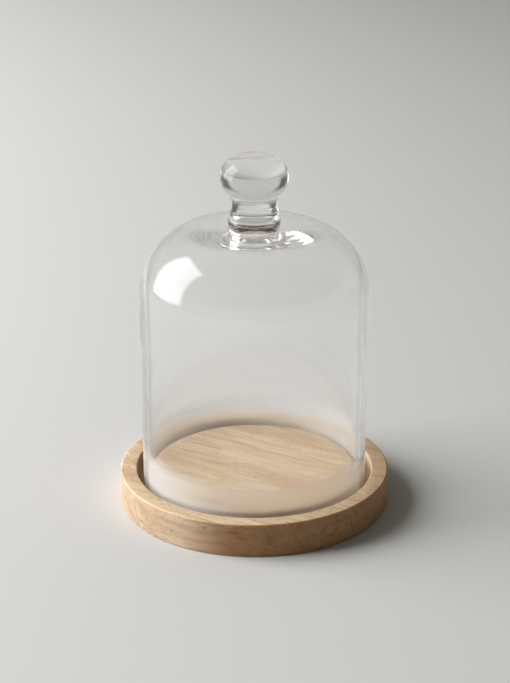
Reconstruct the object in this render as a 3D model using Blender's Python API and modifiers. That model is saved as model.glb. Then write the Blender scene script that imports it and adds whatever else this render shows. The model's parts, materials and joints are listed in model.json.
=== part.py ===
"""Bell jar dome: a clear glass cloche with a solid glass knob, on a turned wooden base.

The origin is the centre of the underside, +Z is up, and every length is in metres.
"""

import math

import bpy

MM = 0.001
GAP = 0.3 * MM  # running space left between pieces that touch

# Wooden base: one round board with an annular groove that leaves a platform in its middle.
BASE_RADIUS = 70.0 * MM
BASE_TOP = 17.8 * MM
BASE_EDGE = 0.9 * MM  # rounding of its outer edges
GROOVE_OUTER_RADIUS = 61.4 * MM
GROOVE_INNER_RADIUS = 54.0 * MM
GROOVE_DEPTH = 7.0 * MM
PLATFORM_DROP = 0.8 * MM  # the platform's top lies this much lower than the rim's
GROOVE_EDGE = 0.7 * MM  # rounding of the groove's two upper edges

# Felt disc let into the underside, standing a little proud of the wood.
FELT_RADIUS = 55.0 * MM
FELT_THICKNESS = 1.2 * MM

# Glass dome: a straight wall, a shoulder arc and a level crown, with an opening under the knob.
DOME_RADIUS = 58.0 * MM
WALL = 2.6 * MM
SHOULDER_HEIGHT = 116.2 * MM  # where the straight wall ends
SHOULDER_RADIUS = 32.6 * MM
THICKENING = 4.0 * MM  # the crown's inner face hangs down this much towards the knob
THICKENING_START = 38.0 * MM  # radius where that begins
THICKENING_END = 6.0 * MM  # radius where it would be complete

# Glass knob: a flattened ball on a waisted stem, which widens into a hollow collar.
HOLLOW_RADIUS = 11.6 * MM
HOLLOW_TOP = 156.5 * MM
HOLLOW_CAP = 3.5 * MM  # height of the hollow's rounded top
BALL_RADIUS = 17.3 * MM
BALL_HALF_HEIGHT = 12.2 * MM
BALL_HEIGHT = 174.94 * MM  # the ball's middle
BALL_SQUARENESS = 0.035  # above its middle the ball is a little fuller than an ellipse
NECK_RADIUS = 11.6 * MM
NECK_HEIGHT = 161.2 * MM  # the narrowest place
NECK_ARC = 12.0 * MM  # radius of the hollow curve above and below the neck
NECK_FLARE = 5.9 * MM  # how far that curve goes on above the neck
COLLAR_RADIUS = 13.8 * MM
COLLAR_HEIGHT = 155.4 * MM
FOOT_RADIUS = 13.4 * MM

TURN_STEPS = 64  # facets round every turned piece
KNOB_TOP_STEPS = 8
KNOB_STEM_STEPS = 36
SHARP_ANGLE = math.radians(35.0)  # edges steeper than this stay crisp

GROOVE_FLOOR = BASE_TOP - GROOVE_DEPTH
PLATFORM_TOP = BASE_TOP - PLATFORM_DROP
CROWN_TOP = SHOULDER_HEIGHT + SHOULDER_RADIUS


def arc(centre_r, centre_z, radius, start, end, steps):
    """Points along an arc, as (radius, height) pairs; angles in degrees from outward, up positive."""
    points = []
    for index in range(steps + 1):
        angle = math.radians(start + (end - start) * index / steps)
        points.append((centre_r + radius * math.cos(angle), centre_z + radius * math.sin(angle)))
    return points


def thickening(radius):
    """How far the crown's inner face hangs down at a radius."""
    share = (radius - THICKENING_END) / (THICKENING_START - THICKENING_END)
    share = min(max(share, 0.0), 1.0)
    return THICKENING * (1.0 + math.cos(math.pi * share)) / 2.0


def dome_side(offset, steps):
    """One side of the glass, offset inwards: from the opening's edge to the end of the shoulder."""
    level = CROWN_TOP - offset
    flat_end = DOME_RADIUS - SHOULDER_RADIUS
    flat = [
        (HOLLOW_RADIUS + (flat_end - HOLLOW_RADIUS) * index / steps, level) for index in range(steps)]
    return flat + arc(flat_end, SHOULDER_HEIGHT, SHOULDER_RADIUS - offset, 90.0, 0.0, 12)


def turned(name, profile, material, collection, ring=False):
    """A piece turned about the Z axis from a profile whose outer side runs downwards.

    The profile starts and ends on the axis, or is closed on itself when the piece is a ring.
    """
    mesh = bpy.data.meshes.new(name)
    points = [(radius, 0.0, height) for radius, height in profile]
    edges = [(index, index + 1) for index in range(len(points) - 1)]
    if ring:
        edges.append((len(points) - 1, 0))
    mesh.from_pydata(points, edges, [])
    mesh.materials.append(material)
    piece = bpy.data.objects.new(name, mesh)
    collection.objects.link(piece)

    screw = piece.modifiers.new("turn", "SCREW")
    screw.axis = "Z"
    screw.angle = math.tau
    screw.steps = TURN_STEPS
    screw.render_steps = TURN_STEPS
    screw.use_smooth_shade = True
    screw.use_merge_vertices = True
    screw.merge_threshold = 0.00001

    depsgraph = bpy.context.evaluated_depsgraph_get()
    solid = bpy.data.meshes.new_from_object(piece.evaluated_get(depsgraph), depsgraph=depsgraph)
    solid.shade_smooth()
    solid.set_sharp_from_angle(angle=SHARP_ANGLE)
    piece.modifiers.clear()
    piece.data = solid
    bpy.data.meshes.remove(mesh)
    solid.name = name
    return piece


def make_material(name, colour, roughness, transmission=0.0):
    """A Principled BSDF material of one colour."""
    material = bpy.data.materials.new(name)
    material.use_nodes = True
    shader = material.node_tree.nodes["Principled BSDF"]
    shader.inputs["Base Color"].default_value = (*colour, 1.0)
    shader.inputs["Roughness"].default_value = roughness
    shader.inputs["Transmission Weight"].default_value = transmission
    shader.inputs["IOR"].default_value = 1.5
    material.diffuse_color = (*colour, 1.0)
    return material


def make_base(collection):
    """The turned board: platform, groove, rim and the shallow recess for the felt underneath."""
    wood = make_material("pale wood", (0.62, 0.42, 0.26), 0.55)
    wood_bottom = GAP
    recess_top = FELT_THICKNESS + GAP
    recess_radius = FELT_RADIUS + GAP
    profile = [(0.0, PLATFORM_TOP)]
    profile += arc(
        GROOVE_INNER_RADIUS - GROOVE_EDGE, PLATFORM_TOP - GROOVE_EDGE, GROOVE_EDGE, 90.0, 0.0, 3)
    profile += [(GROOVE_INNER_RADIUS, GROOVE_FLOOR), (GROOVE_OUTER_RADIUS, GROOVE_FLOOR)]
    profile += arc(
        GROOVE_OUTER_RADIUS + GROOVE_EDGE, BASE_TOP - GROOVE_EDGE, GROOVE_EDGE, 180.0, 90.0, 3)
    profile += arc(BASE_RADIUS - BASE_EDGE, BASE_TOP - BASE_EDGE, BASE_EDGE, 90.0, 0.0, 4)
    profile += arc(BASE_RADIUS - BASE_EDGE, wood_bottom + BASE_EDGE, BASE_EDGE, 0.0, -90.0, 4)
    profile += [(recess_radius, wood_bottom), (recess_radius, recess_top), (0.0, recess_top)]
    return turned("wooden_base", profile, wood, collection)


def make_felt(collection):
    """The disc of felt that the whole object stands on."""
    felt = make_material("grey felt", (0.10, 0.10, 0.10), 0.95)
    profile = [(0.0, FELT_THICKNESS), (FELT_RADIUS, FELT_THICKNESS), (FELT_RADIUS, 0.0), (0.0, 0.0)]
    return turned("base_felt", profile, felt, collection)


def make_dome(glass, collection):
    """The blown shell, open at the bottom, with a fire-rounded lower lip that stands in the groove."""
    lip_radius = WALL / 2
    lip_bottom = GROOVE_FLOOR + GAP
    outside = dome_side(0.0, 2)
    inside = [
        (radius, height - (thickening(radius) if height > SHOULDER_HEIGHT else 0.0))
        for radius, height in dome_side(WALL, 6)]
    lip = arc(DOME_RADIUS - lip_radius, lip_bottom + lip_radius, lip_radius, 0.0, -180.0, 6)
    return turned("glass_dome", outside + lip + inside[::-1], glass, collection, ring=True)


def ball_radius(height):
    """The lower half of the ball: its radius at a height, zero below its lowest point."""
    drop = min(abs(height - BALL_HEIGHT) / BALL_HALF_HEIGHT, 1.0)
    return BALL_RADIUS * math.sqrt(1.0 - drop * drop)


def stem_radius(height):
    """The stem's radius at a height: waisted at the neck, then a collar that narrows to its foot."""
    from_neck = min(max(NECK_HEIGHT - height, -NECK_FLARE), NECK_ARC)
    hollow = NECK_RADIUS + NECK_ARC - math.sqrt(NECK_ARC ** 2 - from_neck ** 2)
    share = min(max((COLLAR_HEIGHT - height) / (COLLAR_HEIGHT - CROWN_TOP), 0.0), 1.0)
    collar = COLLAR_RADIUS - (COLLAR_RADIUS - FOOT_RADIUS) * share ** 2
    return min(hollow, collar)


def make_knob(glass, collection):
    """The knob, standing on the dome's crown; its collar is hollow and opens into the dome."""
    foot = CROWN_TOP + GAP
    profile = []
    for step in range(KNOB_TOP_STEPS):
        angle = math.pi / 2 * (1.0 - step / KNOB_TOP_STEPS)
        fuller = 1.0 + BALL_SQUARENESS * math.sin(2.0 * angle) ** 2
        profile.append((
            BALL_RADIUS * math.cos(angle) * fuller if step else 0.0,
            BALL_HEIGHT + BALL_HALF_HEIGHT * math.sin(angle) * fuller))
    for step in range(KNOB_STEM_STEPS + 1):
        height = BALL_HEIGHT - (BALL_HEIGHT - foot) * step / KNOB_STEM_STEPS
        profile.append((max(ball_radius(height), stem_radius(height)), height))
    cap_low = HOLLOW_TOP - HOLLOW_CAP
    profile.append((HOLLOW_RADIUS, foot))
    for step in range(7):
        angle = math.pi / 2 * step / 7
        profile.append((HOLLOW_RADIUS * math.cos(angle), cap_low + HOLLOW_CAP * math.sin(angle)))
    profile.append((0.0, HOLLOW_TOP))
    return turned("glass_knob", profile, glass, collection)


def main():
    for old in list(bpy.data.objects):
        bpy.data.objects.remove(old, do_unlink=True)
    collection = bpy.data.collections.new("bell_jar_dome")
    bpy.context.scene.collection.children.link(collection)
    glass = make_material("clear glass", (0.93, 0.95, 0.94), 0.02, transmission=1.0)
    make_base(collection)
    make_felt(collection)
    make_dome(glass, collection)
    make_knob(glass, collection)


main()
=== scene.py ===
"""The looks of the bell jar dome: a fused glass cloche and knob, a turned wooden base and its felt."""

import json
import math

import bpy
from mathutils import Matrix, Vector, noise


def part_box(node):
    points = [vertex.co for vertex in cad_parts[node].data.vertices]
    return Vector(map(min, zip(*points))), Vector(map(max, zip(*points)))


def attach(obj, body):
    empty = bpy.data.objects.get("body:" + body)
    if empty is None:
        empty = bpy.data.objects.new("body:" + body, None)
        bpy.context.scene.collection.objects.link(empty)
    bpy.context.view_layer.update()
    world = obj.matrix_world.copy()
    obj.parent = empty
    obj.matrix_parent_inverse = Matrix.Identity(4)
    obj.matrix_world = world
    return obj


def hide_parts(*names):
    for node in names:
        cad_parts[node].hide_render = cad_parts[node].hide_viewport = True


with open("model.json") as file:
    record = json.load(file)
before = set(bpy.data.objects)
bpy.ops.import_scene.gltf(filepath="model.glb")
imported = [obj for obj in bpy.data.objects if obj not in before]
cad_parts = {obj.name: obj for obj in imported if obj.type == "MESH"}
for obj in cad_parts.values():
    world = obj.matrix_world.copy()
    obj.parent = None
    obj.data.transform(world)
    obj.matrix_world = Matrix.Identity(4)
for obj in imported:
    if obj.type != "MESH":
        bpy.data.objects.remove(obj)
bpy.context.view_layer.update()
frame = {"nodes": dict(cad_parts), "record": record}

MM = 0.001

# What the frame says.
BASE_LOW, BASE_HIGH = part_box("wooden_base")
FELT_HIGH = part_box("base_felt")[1]
DOME_LOW, DOME_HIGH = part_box("glass_dome")
KNOB_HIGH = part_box("glass_knob")[1]
PLATFORM_TOP = next(
    mount["pos_m"][2] for mount in frame["record"]["mounts"] if mount["name"] == "display_platform")

BASE_RADIUS = BASE_HIGH.x
BASE_TOP = BASE_HIGH.z
DOME_RADIUS = DOME_HIGH.x
BALL_RADIUS = KNOB_HIGH.x

# Base: widths and roundings that a box can't give.
RIM_WIDTH = 8.6 * MM
GROOVE_WIDTH = 7.4 * MM
GROOVE_DEPTH = 7.0 * MM
RIM_EDGE = 0.9 * MM
GROOVE_EDGE = 0.7 * MM
GROOVE_FLOOR_FILLET = 1.0 * MM
FELT_GAP = 0.3 * MM  # space round the felt and above it
RECESS_EDGE = 0.2 * MM
RECESS_CORNER = 0.1 * MM

# Glass: the dome's wall, and the crown that is thicker round the knob.
WALL = 2.6 * MM
SHOULDER_RADIUS = 32.6 * MM
SHOULDER_HEIGHT = 116.2 * MM
CROWN_TOP = SHOULDER_HEIGHT + SHOULDER_RADIUS  # the crown is level inside the shoulder's arc
BULGE = 4.0 * MM  # how much thicker the crown is round the knob
BULGE_FLAT = 6.0 * MM  # radius inside which it is at its thickest
BULGE_EDGE = 38.0 * MM  # radius where the thickening ends
BULGE_OVAL = 0.85
WANDER = 0.12 * MM  # how far the inner face wanders
WANDER_FULL = 20.0 * MM  # it wanders less nearer to the axis than this
WANDER_ROUND = 1.1  # noise cycles, as a radius round the axis
WANDER_UP = 22.0  # and per metre of height
BULGE_BLEND = 2.0 * MM  # height above the crown where the inner face no longer hangs

# Glass: the hollow in the collar, then the knob.
HOLLOW_RADIUS = 11.6 * MM
HOLLOW_TOP = 156.5 * MM
HOLLOW_CAP = 3.5 * MM
HOLLOW_EDGE = 1.2 * MM  # rounding where the hollow opens into the dome
BALL_HALF_HEIGHT = 12.2 * MM
BALL_TOP_SQUARE = 0.035  # the ball's upper half is this much squarer than an ellipse
CREASE_BLEND = 1.2 * MM  # rounding between ball and neck
NECK_RADIUS = 11.6 * MM
NECK_HEIGHT = 161.2 * MM
NECK_ARC = 12.0 * MM  # radius of the hollow curve above and below the neck
NECK_FLARE = 5.9 * MM  # how far the hollow goes on above the neck
COLLAR_RADIUS = 13.8 * MM
COLLAR_HEIGHT = 155.4 * MM
COLLAR_BLEND = 0.8 * MM
FOOT_RADIUS = 13.4 * MM
FOOT_FILLET = 0.6 * MM

# Glass finish, and painted reflection at the glass's edges. EDGE and LINE places run from 0, facing the
# eye, to 1, seen edge on.
EDGE_START = 0.24  # the knob's painted dark edge begins here
EDGE_FULL = 0.40
EDGE_END = 0.66  # and begins to clear again here
EDGE_FADE = 0.10
# painted reflection of the dark room: the colour that darkens the glass's edges
PAINTED_EDGE_SHADE = 0.03
CLEAR = (0.996, 0.998, 0.996, 1.0)
KNOB_FADE = 4.0 * MM  # height over which the wall's painted dark line becomes the knob's painted dark edge
WALL_PAINTED_EDGE = 0.36  # how much of the knob's painted dark edge the dome's wall gets, in a thin line
LINE_START = 0.70
LINE_END = 0.90
LINE_SOFT = 0.07
FROST_TOP = 33.0 * MM
FROST_FADE = 4.5 * MM
FROST_WAVER = 3.0 * MM  # the range in which the milky band's upper limit wanders
FROST_WHITE = 0.08  # how white the milky band is
FROST_PAINTED_LIGHT_LEFT = 0.09  # painted light: how much whiter at its left, the window's side
FROST_LEFT = 50.0 * MM  # the place to the left of the axis where that is complete
FROST_PAINTED_LIGHT_LOW = 0.06  # and how much whiter near the lip: painted light over the groove's shade
FROST_ROUGH = 0.34  # its roughness, and that near the lip
FROST_ROUGH_LOW = 0.65
LIP_START = 23.0 * MM  # the part near the lip begins here, and is complete lower down
LIP_FULL = 18.0 * MM
SHADE_FACING = (0.955, 0.96, 0.955, 1.0)  # what a light ray keeps through one surface, straight on
SHADE_SLANTING = (0.80, 0.81, 0.805, 1.0)  # and at a slant
SHADE_FROST = (0.45, 0.45, 0.45, 1.0)
FROST_SHADE = 0.10  # how far the milky band goes towards that shade

# Fineness of the turned meshes, in steps all round and along the crown.
BASE_SEGMENTS = 224
GLASS_SEGMENTS = 160
CROWN_STEPS = 44

# Wood: how the grain lies, where the pith is, and colours that darken it, as factors, some of them painted
# shade.
GRAIN_ANGLE = math.radians(30.0)
PITH_SIDE = 12.0 * MM
PITH_DEPTH = 55.0 * MM
RINGS_PER_METRE = 150.0
RIGHT_TOP_DARKENING = (0.78, 0.73, 0.70, 1.0)  # darker on top towards the board's right end
RIGHT_TOP_DARKENING_START = 54.0 * MM
RIGHT_TOP_DARKENING_END = 64.0 * MM
# end grain, and painted shade on the side turned away from the window
END_GRAIN_AND_SHADE = (0.61, 0.45, 0.29, 1.0)
SIDE_PAINTED_SHADE = (0.72, 0.74, 0.77, 1.0)  # painted shade: the board's upright outer side, all round, darker than its top


# ---------------------------------------------------------------- mesh helpers

def arc(centre_r, centre_z, radius, start, end, steps):
    """Points (r, z) along an arc; angles in degrees from outward, up positive."""
    points = []
    for index in range(steps + 1):
        angle = math.radians(start + (end - start) * index / steps)
        points.append((centre_r + radius * math.cos(angle), centre_z + radius * math.sin(angle)))
    return points


def line(start, end, steps):
    """Points (r, z) along a straight line, without its first point."""
    return [
        (start[0] + (end[0] - start[0]) * index / steps, start[1] + (end[1] - start[1]) * index / steps)
        for index in range(1, steps + 1)]


def turned(name, profile, segments, shift=None):
    """A closed body turned about Z from a profile whose two ends lie on the axis, outer side first.

    shift moves a point a little, for what a hand leaves uneven: shift(r, angle, z, row) -> (r, z).
    """
    verts = [(0.0, 0.0, profile[0][1])]
    for row, (radius, height) in enumerate(profile[1:-1], 1):
        for index in range(segments):
            angle = math.tau * index / segments
            r, z = shift(radius, angle, height, row) if shift else (radius, height)
            verts.append((r * math.cos(angle), r * math.sin(angle), z))
    verts.append((0.0, 0.0, profile[-1][1]))
    faces = []
    rows = len(profile) - 2
    for index in range(segments):
        following = (index + 1) % segments
        faces.append((0, 1 + index, 1 + following))
        for row in range(rows - 1):
            top = 1 + row * segments
            low = top + segments
            faces.append((top + index, low + index, low + following, top + following))
        last = 1 + (rows - 1) * segments
        faces.append((last + following, last + index, len(verts) - 1))
    mesh = bpy.data.meshes.new(name)
    mesh.from_pydata(verts, [], faces)
    mesh.shade_smooth()
    piece = bpy.data.objects.new(name, mesh)
    bpy.context.scene.collection.objects.link(piece)
    return piece


# ---------------------------------------------------------------- node helpers

class Nodes:
    """Short calls that add nodes to one node tree."""

    def __init__(self, tree):
        self.tree = tree
        tree.nodes.clear()

    def add(self, kind, inputs=None, **settings):
        node = self.tree.nodes.new(kind)
        for key, value in settings.items():
            setattr(node, key, value)
        for key, value in (inputs or {}).items():
            self.feed(node.inputs[key], value)
        return node

    def feed(self, socket, value):
        if isinstance(value, bpy.types.NodeSocket):
            self.tree.links.new(value, socket)
        else:
            socket.default_value = value

    def math(self, operation, *values, clamp=False):
        node = self.add("ShaderNodeMath", operation=operation, use_clamp=clamp)
        for socket, value in zip(node.inputs, values):
            self.feed(socket, value)
        return node.outputs[0]

    def smooth(self, value, low, high, to_low=0.0, to_high=1.0):
        node = self.add(
            "ShaderNodeMapRange", interpolation_type="SMOOTHSTEP",
            inputs={"Value": value, "From Min": low, "From Max": high, "To Min": to_low, "To Max": to_high})
        return node.outputs["Result"]

    def noise(self, vector, scale, detail=2.0, roughness=0.5, distortion=0.0):
        node = self.add("ShaderNodeTexNoise", inputs={
            "Vector": vector, "Scale": scale, "Detail": detail,
            "Roughness": roughness, "Distortion": distortion})
        return node.outputs["Fac"]

    def stretch(self, vector, scale, rotation=(0.0, 0.0, 0.0), location=(0.0, 0.0, 0.0)):
        node = self.add("ShaderNodeMapping", inputs={
            "Vector": vector, "Scale": scale, "Rotation": rotation, "Location": location})
        return node.outputs["Vector"]

    def mix(self, factor, first, second, blend="MIX"):
        node = self.add("ShaderNodeMix", data_type="RGBA", blend_type=blend)
        self.feed(node.inputs["Factor"], factor)
        self.feed(node.inputs[6], first)
        self.feed(node.inputs[7], second)
        return node.outputs[2]

    def part(self, vector, axis):
        """One of a vector's X, Y and Z."""
        return self.add("ShaderNodeSeparateXYZ", inputs={0: vector}).outputs[axis]

    def vector(self, operation, first, second=(0.0, 0.0, 0.0), result="Vector"):
        node = self.add("ShaderNodeVectorMath", operation=operation, inputs={0: first, 1: second})
        return node.outputs[result]

    def ramp(self, value, stops):
        node = self.add("ShaderNodeValToRGB", inputs={"Fac": value})
        elements = node.color_ramp.elements
        while len(elements) < len(stops):
            elements.new(0.5)
        for element, (place, colour) in zip(elements, stops):
            element.position = place
            element.color = (*colour, 1.0)
        return node.outputs["Color"]


def new_material(name):
    material = bpy.data.materials.new(name)
    material.use_nodes = True
    return material, Nodes(material.node_tree)


# ---------------------------------------------------------------- materials

def wood_material():
    """Pale plain-sawn hardwood: long soft streaks, fine fibres, short dark pores.

    A noise's stretch is in cycles per metre: along the grain first, then twice across it.
    """
    material, n = new_material("pale_wood")
    place = n.add("ShaderNodeTexCoord").outputs["Object"]
    grain = n.stretch(place, (1.0, 1.0, 1.0), rotation=(0.0, 0.0, GRAIN_ANGLE))

    # The grain wanders: a slow noise pushes it sideways.
    bend = n.math("SUBTRACT", n.noise(n.stretch(grain, (9.0, 14.0, 14.0)), 1.0, detail=2.0), 0.5)
    push = n.add("ShaderNodeCombineXYZ", inputs={1: n.math("MULTIPLY", bend, 12.0 * MM)}).outputs[0]
    grain = n.vector("ADD", grain, push)

    # Growth rings: shells round a pith line below the board.
    drift = n.noise(n.stretch(grain, (10.0, 30.0, 30.0)), 1.0, detail=3.0)
    across = n.math("ADD", n.part(grain, "Y"), PITH_SIDE)
    depth = n.math("ADD", n.part(grain, "Z"), PITH_DEPTH)
    squares = n.math("ADD", n.math("MULTIPLY", across, across), n.math("MULTIPLY", depth, depth))
    wobble = n.math("MULTIPLY", n.math("SUBTRACT", drift, 0.5), 30.0 * MM)
    distance = n.math("ADD", n.math("SQRT", squares), wobble)
    rings = n.math("FRACT", n.math("MULTIPLY", distance, RINGS_PER_METRE))
    late = n.math("MULTIPLY", n.smooth(rings, 0.45, 1.0), n.smooth(rings, 1.0, 0.93))

    streaks = n.noise(
        n.stretch(grain, (16.0, 190.0, 190.0)), 1.0, detail=5.0, roughness=0.65, distortion=0.4)
    broad = n.noise(
        n.stretch(grain, (14.0, 60.0, 60.0), location=(3.0, 1.0, 0.0)), 1.0, detail=4.0, roughness=0.6)
    fibres = n.noise(n.stretch(grain, (55.0, 1500.0, 1500.0)), 1.0, detail=3.0, roughness=0.7)
    pore_noise = n.noise(n.stretch(grain, (260.0, 1700.0, 1700.0)), 1.0, detail=1.0)
    pore_zone = n.noise(n.stretch(grain, (20.0, 90.0, 90.0), location=(0.0, 7.0, 2.0)), 1.0, detail=2.0)
    pores = n.math("MULTIPLY", n.smooth(pore_noise, 0.60, 0.70), n.smooth(pore_zone, 0.38, 0.56))
    vein_noise = n.noise(
        n.stretch(grain, (26.0, 430.0, 430.0), location=(5.0, 2.0, 8.0)), 1.0, detail=4.0, roughness=0.6)
    vein_zone = n.noise(n.stretch(grain, (15.0, 45.0, 45.0), location=(1.0, 9.0, 4.0)), 1.0, detail=2.0)
    veins = n.math("MULTIPLY", n.smooth(vein_noise, 0.52, 0.68), n.smooth(vein_zone, 0.36, 0.62))

    base = n.ramp(streaks, [
        (0.28, (0.560, 0.375, 0.215)),
        (0.44, (0.685, 0.500, 0.315)),
        (0.58, (0.750, 0.575, 0.385)),
        (0.74, (0.830, 0.670, 0.470))])
    pinkish = n.mix(n.smooth(broad, 0.46, 0.70, 0.0, 0.60), base, (0.620, 0.375, 0.235, 1.0))
    ringed = n.mix(n.math("MULTIPLY", late, 0.24), pinkish, (0.480, 0.285, 0.150, 1.0))
    fibrous = n.mix(n.smooth(fibres, 0.40, 0.75, 0.0, 0.24), ringed, (0.400, 0.240, 0.125, 1.0))
    veined = n.mix(n.math("MULTIPLY", veins, 0.62), fibrous, (0.440, 0.225, 0.120, 1.0))
    long_grain = n.mix(n.math("MULTIPLY", pores, 0.65), veined, (0.235, 0.120, 0.060, 1.0))

    # End grain drinks more oil: the edge is darker at the end where the fibres run out of it. Only the end
    # turned away from the window is darkened, so this is partly painted shade.
    normal = n.add("ShaderNodeTexCoord").outputs["Normal"]
    along_grain = (math.cos(GRAIN_ANGLE), -math.sin(GRAIN_ANGLE), 0.0)
    away = n.vector("NORMALIZE", n.vector("MULTIPLY", place, (1.0, 1.0, 0.0)))
    outwards = n.smooth(n.vector("DOT_PRODUCT", normal, away, "Value"), -0.1, 0.2)
    end = n.smooth(n.vector("DOT_PRODUCT", normal, along_grain, "Value"), -0.02, 0.42)
    colour = n.mix(n.math("MULTIPLY", end, outwards), long_grain, END_GRAIN_AND_SHADE, blend="MULTIPLY")
    # Painted shade: the upright outer side is darker than the top, all round.
    upright = n.smooth(n.math("ABSOLUTE", n.part(normal, "Z")), 0.6, 0.3)
    colour = n.mix(n.math("MULTIPLY", upright, outwards), colour, SIDE_PAINTED_SHADE, blend="MULTIPLY")
    # The top darkens towards the board's right end.
    right_top_darkening = n.math(
        "MULTIPLY", n.smooth(n.part(place, "X"), RIGHT_TOP_DARKENING_START, RIGHT_TOP_DARKENING_END),
        n.math("SUBTRACT", 1.0, upright))
    colour = n.mix(right_top_darkening, colour, RIGHT_TOP_DARKENING, blend="MULTIPLY")

    roughness = n.smooth(fibres, 0.2, 0.8, 0.52, 0.68)
    relief = n.math("SUBTRACT", n.math("MULTIPLY", fibres, 0.35), pores)
    bump = n.add("ShaderNodeBump", inputs={"Strength": 0.35, "Distance": 0.00012, "Height": relief})
    shader = n.add("ShaderNodeBsdfPrincipled", inputs={
        "Base Color": colour, "Roughness": roughness, "Normal": bump.outputs[0],
        "IOR": 1.45, "Specular IOR Level": 0.35})
    n.add("ShaderNodeOutputMaterial", inputs={"Surface": shader.outputs[0]})
    return material


def felt_material():
    """Dark pressed felt."""
    material, n = new_material("pressed_felt")
    place = n.add("ShaderNodeTexCoord").outputs["Object"]
    tufts = n.noise(place, 900.0, detail=4.0, roughness=0.7)
    colour = n.ramp(tufts, [(0.3, (0.045, 0.045, 0.048)), (0.7, (0.10, 0.10, 0.10))])
    bump = n.add("ShaderNodeBump", inputs={"Strength": 0.6, "Distance": 0.0002, "Height": tufts})
    shader = n.add("ShaderNodeBsdfPrincipled", inputs={
        "Base Color": colour, "Roughness": 0.95, "Normal": bump.outputs[0], "Sheen Weight": 0.3})
    n.add("ShaderNodeOutputMaterial", inputs={"Surface": shader.outputs[0]})
    return material


def glass_material():
    """Clear glass that turns milky in its lowest band. Lamps and bounced light pass straight through."""
    material, n = new_material("blown_glass")
    place = n.add("ShaderNodeTexCoord").outputs["Object"]
    height = n.part(place, "Z")

    # The milky band: how white and how rough it is, with painted light in its whiteness.
    waver = n.math("MULTIPLY", n.math("SUBTRACT", n.noise(place, 30.0), 0.5), FROST_WAVER)
    frost = n.smooth(
        n.math("ADD", height, waver), FROST_TOP - FROST_FADE, FROST_TOP + FROST_FADE, 1.0, 0.0)
    low = n.smooth(height, LIP_START, LIP_FULL)
    leftwards = n.smooth(n.part(place, "X"), 0.0, -FROST_LEFT)
    # Painted light: the band is whiter at its left, towards the window.
    white = n.math("MULTIPLY_ADD", leftwards, FROST_PAINTED_LIGHT_LEFT, FROST_WHITE)
    # Painted light: the band is whiter near the lip, over the groove's shade.
    white = n.math("MULTIPLY_ADD", low, FROST_PAINTED_LIGHT_LOW, white)
    rough = n.math("MULTIPLY_ADD", low, FROST_ROUGH_LOW - FROST_ROUGH, FROST_ROUGH)

    # Painted reflection of the dark room: upright glass is darker where it is seen at a slant, broadly in
    # the knob, in a thin line in the dome's wall.
    facing = n.add("ShaderNodeLayerWeight", inputs={"Blend": 0.5}).outputs["Facing"]
    steep = n.part(n.add("ShaderNodeTexCoord").outputs["Normal"], "Z")
    upright = n.smooth(n.math("ABSOLUTE", steep), 0.50, 0.15)
    broad = n.math("MULTIPLY", n.smooth(facing, EDGE_START, EDGE_FULL),
                   n.smooth(facing, EDGE_END + EDGE_FADE, EDGE_END))
    in_knob = n.smooth(height, CROWN_TOP, CROWN_TOP + KNOB_FADE)
    outline = n.math("MULTIPLY", n.smooth(facing, LINE_START, LINE_START + LINE_SOFT),
                     n.smooth(facing, LINE_END, LINE_END - LINE_SOFT))
    thin = n.math("MULTIPLY", n.smooth(in_knob, 1.0, 0.0, 0.0, WALL_PAINTED_EDGE), outline)
    edge = n.math("MULTIPLY", n.math("MULTIPLY_ADD", broad, in_knob, thin), upright)
    clear_and_painted_edge = n.mix(edge, CLEAR, (PAINTED_EDGE_SHADE, PAINTED_EDGE_SHADE * 1.05, PAINTED_EDGE_SHADE * 1.08, 1.0))
    shader = n.add("ShaderNodeBsdfPrincipled", inputs={
        "Base Color": clear_and_painted_edge,
        "Roughness": n.math("MULTIPLY", n.math("MULTIPLY", frost, frost), rough),
        "Transmission Weight": n.math("SUBTRACT", 1.0, n.math("MULTIPLY", frost, white)),
        "IOR": 1.5})

    # What lamps and bounced light lose on their way through.
    path = n.add("ShaderNodeLightPath")
    passing = n.math("MAXIMUM", path.outputs["Is Shadow Ray"], path.outputs["Is Diffuse Ray"])
    shade = n.mix(n.smooth(facing, 0.25, 0.95), SHADE_FACING, SHADE_SLANTING)
    shade = n.mix(n.math("MULTIPLY", frost, FROST_SHADE), shade, SHADE_FROST)
    clear = n.add("ShaderNodeBsdfTransparent", inputs={"Color": shade})
    both = n.add("ShaderNodeMixShader", inputs={0: passing, 1: shader.outputs[0], 2: clear.outputs[0]})
    n.add("ShaderNodeOutputMaterial", inputs={"Surface": both.outputs[0]})
    return material


# ---------------------------------------------------------------- pieces

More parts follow.
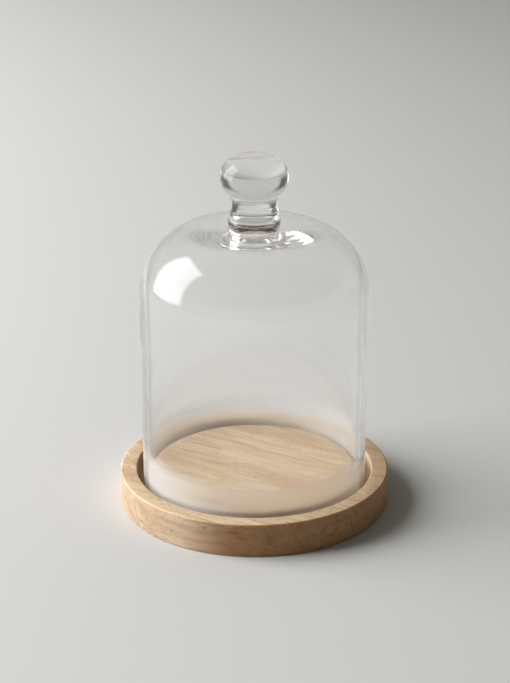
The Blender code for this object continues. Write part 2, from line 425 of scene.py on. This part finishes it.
def make_base():
    """The turned board, with finely rounded edges."""
    groove_outer = BASE_RADIUS - RIM_WIDTH
    groove_inner = groove_outer - GROOVE_WIDTH
    groove_floor = BASE_TOP - GROOVE_DEPTH
    wood_bottom = BASE_LOW.z
    recess_radius = FELT_HIGH.x + FELT_GAP
    recess_top = FELT_HIGH.z + FELT_GAP
    fillet = GROOVE_FLOOR_FILLET
    profile = [(0.0, PLATFORM_TOP)]
    profile += line((0.0, PLATFORM_TOP), (groove_inner - GROOVE_EDGE, PLATFORM_TOP), 16)
    profile += arc(groove_inner - GROOVE_EDGE, PLATFORM_TOP - GROOVE_EDGE, GROOVE_EDGE, 90.0, 0.0, 6)[1:]
    profile += arc(groove_inner + fillet, groove_floor + fillet, fillet, 180.0, 270.0, 5)
    profile += arc(groove_outer - fillet, groove_floor + fillet, fillet, 270.0, 360.0, 5)
    profile += arc(groove_outer + GROOVE_EDGE, BASE_TOP - GROOVE_EDGE, GROOVE_EDGE, 180.0, 90.0, 6)
    profile += arc(BASE_RADIUS - RIM_EDGE, BASE_TOP - RIM_EDGE, RIM_EDGE, 90.0, 0.0, 7)
    profile += line((BASE_RADIUS, BASE_TOP - RIM_EDGE), (BASE_RADIUS, wood_bottom + RIM_EDGE), 5)
    profile += arc(BASE_RADIUS - RIM_EDGE, wood_bottom + RIM_EDGE, RIM_EDGE, 0.0, -90.0, 7)[1:]
    profile += [(recess_radius + RECESS_EDGE, wood_bottom), (recess_radius, wood_bottom + RECESS_EDGE)]
    profile += [(recess_radius, recess_top - RECESS_CORNER), (recess_radius - RECESS_CORNER, recess_top)]
    profile += [(0.0, recess_top)]
    base = turned("turned_base", profile, BASE_SEGMENTS)
    base.data.set_sharp_from_angle(angle=math.radians(50.0))
    base.data.materials.append(wood_material())
    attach(base, "base")
    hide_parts("wooden_base")


def soft_max(first, second, blend):
    """The larger of two lengths, rounded off where they cross."""
    spread = max(blend - abs(first - second), 0.0) / blend
    return max(first, second) + spread * spread * blend / 4.0


def ball_points(start, end, steps, square=0.0):
    """Points down the ball's side: an ellipse, or one that is a little squarer than that."""
    points = []
    for step in range(steps + 1):
        angle = math.radians(start + (end - start) * step / steps)
        fuller = 1.0 + square * math.sin(2.0 * angle) ** 2
        points.append((
            BALL_RADIUS * math.cos(angle) * fuller,
            KNOB_HIGH.z - BALL_HALF_HEIGHT * (1.0 - math.sin(angle) * fuller)))
    return points


def along(points, height):
    """The radius at a height on a side given by points that run downwards."""
    for (first_r, first_z), (next_r, next_z) in zip(points, points[1:]):
        if first_z >= height >= next_z:
            return first_r + (next_r - first_r) * (first_z - height) / (first_z - next_z)
    return 0.0


def stem_radius(height):
    """The stem's radius at a height: waisted at the neck, with a rounded collar at its foot."""
    from_neck = max(NECK_HEIGHT - height, -NECK_FLARE)
    hollow = NECK_RADIUS + NECK_ARC - math.sqrt(max(NECK_ARC ** 2 - from_neck ** 2, 0.0))
    share = min(max((COLLAR_HEIGHT - height) / (COLLAR_HEIGHT - CROWN_TOP), 0.0), 1.0)
    collar = COLLAR_RADIUS - (COLLAR_RADIUS - FOOT_RADIUS) * share ** 2
    return -soft_max(-hollow, -collar, COLLAR_BLEND)


def crown_side(offset):
    """One side of the glass, offset inwards, from the crown's level middle to the end of the shoulder."""
    return arc(
        DOME_RADIUS - SHOULDER_RADIUS, SHOULDER_HEIGHT, SHOULDER_RADIUS - offset, 90.0, 0.0, CROWN_STEPS)


def bulge(radius, angle):
    """How far the inner face hangs down, where the knob was fused on; it came out a little oval."""
    reach = radius * math.hypot(math.cos(angle), math.sin(angle) / BULGE_OVAL)
    share = min(max((reach - BULGE_FLAT) / (BULGE_EDGE - BULGE_FLAT), 0.0), 1.0)
    return BULGE * (1.0 + math.cos(math.pi * share)) / 2.0


def make_glass():
    """Dome and knob as the one body they are once fused."""
    ball_middle = KNOB_HIGH.z - BALL_HALF_HEIGHT
    profile = [(0.0, KNOB_HIGH.z)] + ball_points(90.0, 0.0, 28, BALL_TOP_SQUARE)[1:-1]
    ball_low = ball_points(0.0, -90.0, 300)
    low_steps = 130
    foot = CROWN_TOP + FOOT_FILLET
    for step in range(low_steps + 1):
        height = ball_middle + (foot - ball_middle) * step / low_steps
        profile.append((soft_max(along(ball_low, height), stem_radius(height), CREASE_BLEND), height))
    profile += arc(profile[-1][0] + FOOT_FILLET, foot, FOOT_FILLET, 180.0, 270.0, 6)[1:]
    outside = crown_side(0.0)
    profile += line(profile[-1], outside[0], 8)[:-1] + outside
    lip = WALL / 2
    wall_low = DOME_LOW.z + lip
    profile += line(outside[-1], (DOME_RADIUS, wall_low), 40)
    profile += arc(DOME_RADIUS - lip, wall_low, lip, 0.0, -180.0, 12)[1:]
    inside = crown_side(WALL)
    hollow_low = (HOLLOW_RADIUS + HOLLOW_EDGE, CROWN_TOP - WALL)
    inside = [hollow_low] + line(hollow_low, inside[0], 20)[:-1] + inside
    inside.reverse()
    inner_row = len(profile)
    profile += line((DOME_RADIUS - WALL, wall_low), inside[0], 40)
    profile += inside[1:]
    profile += arc(hollow_low[0], hollow_low[1] + HOLLOW_EDGE, HOLLOW_EDGE, 270.0, 180.0, 5)[1:]
    cap_low = HOLLOW_TOP - HOLLOW_CAP
    profile += line(profile[-1], (HOLLOW_RADIUS, cap_low), 5)[:-1]
    for step in range(12):
        angle = math.pi / 2 * step / 12
        profile.append((HOLLOW_RADIUS * math.cos(angle), cap_low + HOLLOW_CAP * math.sin(angle)))
    profile.append((0.0, HOLLOW_TOP))

    def hand_blown(radius, angle, height, row):
        """The inner face hangs down under the knob and wanders a little, as blown glass does."""
        if row < inner_row:
            return radius, height
        spot = Vector((math.cos(angle) * WANDER_ROUND, math.sin(angle) * WANDER_ROUND, height * WANDER_UP))
        wander = WANDER * noise.noise(spot) * min(radius / WANDER_FULL, 1.0)
        share = min(max((CROWN_TOP + BULGE_BLEND - height) / (BULGE_BLEND + WALL), 0.0), 1.0)
        fall = bulge(radius, angle) * share if height > SHOULDER_HEIGHT else 0.0
        return radius + wander, height - fall

    glass = turned("blown_glass", profile, GLASS_SEGMENTS, hand_blown)
    glass.data.materials.append(glass_material())
    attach(glass, "dome")
    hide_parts("glass_dome", "glass_knob")


def dress_felt():
    """The felt keeps its CAD shape and takes a felt material."""
    felt = frame["nodes"]["base_felt"]
    felt.data.materials.clear()
    felt.data.materials.append(felt_material())


# ---------------------------------------------------------------- stage, light and camera

# Floor, in metres: it fades out between two distances. Its painted light, the window's falloff painted into
# the paper, changes by so much per metre.
FLOOR_RADIUS = 4.0
FLOOR_FADE_START = 1.3
FLOOR_FADE_END = 2.1
PAPER = (0.640, 0.634, 0.616, 1.0)
# painted light: how bright the paper is painted under the object
FLOOR_PAINTED_LIGHT = 1.04
PAINTED_FALLOFF_SIDEWAYS = -0.50  # painted falloff of the window's light: the paper darkens towards the right and the back
PAINTED_FALLOFF_BACKWARDS = -0.19
FLOOR_SIDE_LIMIT = 0.30  # the painted falloff changes no further out than these places
FLOOR_FRONT_LIMIT = -0.20
FLOOR_BACK_LIMIT = 1.30
PAINTED_SHADE_NEAR_WINDOW = 0.45  # painted shade: darker paper under the window, so that it isn't dazzling from the sides
NEAR_WINDOW_START = -0.30
NEAR_WINDOW_END = -1.30

# Room: its radiance in each direction.
HORIZON = (0.52, 0.518, 0.498, 1.0)  # all round, low down, and all that the camera sees
BELT_TOP = 0.12  # how high that pale belt goes
BACKDROP = (0.46, 0.46, 0.445, 1.0)  # behind the object
BACKDROP_EDGE = 0.15
ROOM_LIT = 0.25  # at the left
ROOM_DARK = 0.04  # elsewhere, for bounced light
ROOM_GLASS = 0.09  # elsewhere, in glass and gloss
AMBIENT = 1.05  # factor on the room's bounced light
WHITE = (1.0, 1.0, 1.0, 1.0)

# Window: its sizes are at a distance of 1 m. SEEN values are for the one that glass and gloss show.
WINDOW_WIDTH = 0.80
WINDOW_HEIGHT = 1.16
WINDOW_CENTRE = (-0.03, -0.02, 0.12)  # the point that its distance is measured from
WINDOW_SIDE = (-0.182, -0.948, 0.192)  # the way its width runs
WINDOW_WAY = (-0.911, 0.080, 0.407)
WINDOW_DISTANCE = 2.0
WINDOW_RADIANCE = 9.4
WINDOW_COLOUR = (0.985, 0.990, 1.015)
SEEN_WAY = (-0.862, 0.211, 0.4616)
SEEN_FACING = (-0.963, 0.217, 0.159)
SEEN_DISTANCE = 1.6
SEEN_RADIANCE = 3.8
SEEN_COLOUR = (0.98, 0.99, 1.0, 1.0)

# Camera, and the bounces that light may make in the glass.
BOUNCES = 48
CAMERA_TARGET = (0.0004, 0.0, 0.08735)
CAMERA_DISTANCE = 1.0148
CAMERA_ELEVATION = math.radians(21.82)
CAMERA_LENS = 104.44  # in millimetres
CAMERA_SENSOR = 36.0  # its longer side, in millimetres


def make_floor():
    """A pale paper floor with the window's light painted in: lighter at the left and the front, darker
    under the window. It fades out far from the object.
    """
    rings = [0.0, 0.2, 0.5, 1.0, 2.0, 3.0, FLOOR_RADIUS]
    segments = 96
    verts = [(0.0, 0.0, 0.0)]
    for ring in rings[1:]:
        verts += [
            (ring * math.cos(math.tau * index / segments),
             ring * math.sin(math.tau * index / segments), 0.0)
            for index in range(segments)]
    faces = [(0, 1 + index, 1 + (index + 1) % segments) for index in range(segments)]
    for row in range(len(rings) - 2):
        inner = 1 + row * segments
        outer = inner + segments
        for index in range(segments):
            following = (index + 1) % segments
            faces.append((inner + index, outer + index, outer + following, inner + following))
    mesh = bpy.data.meshes.new("floor")
    mesh.from_pydata(verts, [], faces)
    floor = bpy.data.objects.new("floor", mesh)
    bpy.context.scene.collection.objects.link(floor)

    material, n = new_material("pale_paper")
    place = n.add("ShaderNodeTexCoord").outputs["Object"]
    reach = n.vector("LENGTH", place, result="Value")
    side, depth = n.part(place, "X"), n.part(place, "Y")
    # Painted light: the window's falloff, lighter at the left and the front, painted into the paper's
    # colour.
    sideways = n.math("MINIMUM", n.math("MAXIMUM", side, -FLOOR_SIDE_LIMIT), FLOOR_SIDE_LIMIT)
    backwards = n.math("MINIMUM", n.math("MAXIMUM", depth, FLOOR_FRONT_LIMIT), FLOOR_BACK_LIMIT)
    painted_light = n.math("MULTIPLY_ADD", sideways, PAINTED_FALLOFF_SIDEWAYS, FLOOR_PAINTED_LIGHT)
    painted_light = n.math("MULTIPLY_ADD", backwards, PAINTED_FALLOFF_BACKWARDS, painted_light)
    # Painted shade: darker paper under the window.
    painted_shade_near_window = n.smooth(side, NEAR_WINDOW_START, NEAR_WINDOW_END, 1.0, PAINTED_SHADE_NEAR_WINDOW)
    painted_light = n.math("MULTIPLY", painted_light, painted_shade_near_window)
    colour = n.mix(1.0, PAPER, painted_light, blend="MULTIPLY")
    paper = n.add("ShaderNodeBsdfDiffuse", inputs={"Color": colour, "Roughness": 0.5})
    beyond = n.add("ShaderNodeBsdfTransparent")
    fade = n.smooth(reach, FLOOR_FADE_START, FLOOR_FADE_END)
    both = n.add("ShaderNodeMixShader", inputs={0: fade, 1: paper.outputs[0], 2: beyond.outputs[0]})
    n.add("ShaderNodeOutputMaterial", inputs={"Surface": both.outputs[0]})
    mesh.materials.append(material)


def make_world():
    """A dim room with a pale backdrop behind the object. The camera sees pale paper everywhere."""
    world = bpy.data.worlds.new("studio")
    bpy.context.scene.world = world
    world.use_nodes = True
    n = Nodes(world.node_tree)
    way = n.add("ShaderNodeTexCoord").outputs["Generated"]
    height = n.part(way, "Z")
    path = n.add("ShaderNodeLightPath")
    dark = n.math("MULTIPLY_ADD", path.outputs["Is Diffuse Ray"], ROOM_DARK - ROOM_GLASS, ROOM_GLASS)
    left = n.math("MAXIMUM", dark, n.smooth(n.part(way, "X"), -0.2, -0.9, 0.0, ROOM_LIT))
    room = n.add("ShaderNodeCombineColor", inputs={0: left, 1: left, 2: left}).outputs[0]
    behind = n.smooth(n.part(way, "Y"), BACKDROP_EDGE - 0.25, BACKDROP_EDGE + 0.55)
    room = n.mix(behind, room, BACKDROP)
    seen = n.mix(n.smooth(height, BELT_TOP - 0.04, BELT_TOP + 0.24), HORIZON, room)
    colour = n.mix(path.outputs["Is Camera Ray"], seen, HORIZON)
    ambient = (AMBIENT, AMBIENT * 0.99, AMBIENT * 0.90, 1.0)
    dimmed = n.mix(path.outputs["Is Diffuse Ray"], WHITE, ambient)
    colour = n.mix(1.0, colour, dimmed, blend="MULTIPLY")
    background = n.add("ShaderNodeBackground", inputs={"Color": colour, "Strength": 1.0})
    n.add("ShaderNodeOutputWorld", inputs={"Surface": background.outputs[0]})


def area_light(name, radiance, distance, towards, back):
    """The large window at the left, as a lamp of a given radiance, facing along minus back."""
    towards = Vector(towards).normalized()
    back = Vector(back).normalized()
    height_way = back.cross(Vector(WINDOW_SIDE)).normalized()
    width_way = height_way.cross(back)
    light = bpy.data.lights.new(name, "AREA")
    light.shape = "RECTANGLE"
    light.size = WINDOW_WIDTH * distance
    light.size_y = WINDOW_HEIGHT * distance
    light.energy = radiance * math.pi * light.size * light.size_y
    window = bpy.data.objects.new(name, light)
    bpy.context.scene.collection.objects.link(window)
    window.location = towards * distance + Vector(WINDOW_CENTRE)
    window.rotation_mode = "QUATERNION"
    window.rotation_quaternion = Matrix((width_way, height_way, back)).transposed().to_quaternion()
    window.visible_camera = False
    return light, window


def make_window():
    """The window twice: once as what lights the scene, once as what gloss and glass show of it."""
    light, window = area_light("window", WINDOW_RADIANCE, WINDOW_DISTANCE, WINDOW_WAY, WINDOW_WAY)
    light.color = WINDOW_COLOUR
    window.visible_glossy = False
    window.visible_transmission = False

    light, window = area_light("window_seen", 1.0, SEEN_DISTANCE, SEEN_WAY, SEEN_FACING)
    window.visible_diffuse = False
    light.use_nodes = True
    n = Nodes(light.node_tree)
    path = n.add("ShaderNodeLightPath")
    mirrored = n.math("GREATER_THAN", path.outputs["Glossy Depth"], 0.5)
    place = n.add("ShaderNodeNewGeometry").outputs["Parametric"]
    strength = n.math("MULTIPLY", mirrored, SEEN_RADIANCE)
    for axis in ("X", "Y"):
        from_middle = n.math("ABSOLUTE", n.math("SUBTRACT", n.part(place, axis), 0.5))
        from_edge = n.math("SUBTRACT", 0.5, from_middle)
        strength = n.math("MULTIPLY", strength, n.smooth(from_edge, -0.04, 0.10))
    emission = n.add("ShaderNodeEmission", inputs={"Color": SEEN_COLOUR, "Strength": strength})
    n.add("ShaderNodeOutputLight", inputs={"Surface": emission.outputs[0]})


def make_camera():
    """The photograph's view: a long lens, looking down at about 22 degrees."""
    data = bpy.data.cameras.new("camera")
    data.sensor_fit = "AUTO"
    data.sensor_width = CAMERA_SENSOR
    data.lens = CAMERA_LENS
    camera = bpy.data.objects.new("camera", data)
    bpy.context.scene.collection.objects.link(camera)
    back = Vector((0.0, -math.cos(CAMERA_ELEVATION), math.sin(CAMERA_ELEVATION)))
    camera.location = Vector(CAMERA_TARGET) + back * CAMERA_DISTANCE
    camera.rotation_mode = "QUATERNION"
    camera.rotation_quaternion = (-back).to_track_quat("-Z", "Y")
    data.clip_start = 0.05
    data.clip_end = 50.0
    bpy.context.scene.camera = camera


def set_look():
    """Plain colour handling, and enough bounces for light to get through four walls of glass."""
    scene = bpy.context.scene
    scene.view_settings.view_transform = "Standard"
    scene.view_settings.look = "None"
    scene.cycles.use_denoising = True
    scene.cycles.caustics_reflective = False
    scene.cycles.caustics_refractive = False
    scene.cycles.max_bounces = BOUNCES
    scene.cycles.transmission_bounces = BOUNCES
    scene.cycles.glossy_bounces = BOUNCES
    scene.cycles.transparent_max_bounces = 24
    scene.cycles.diffuse_bounces = 5


make_camera()
make_base()
make_glass()
dress_felt()
make_floor()
make_world()
make_window()
set_look()
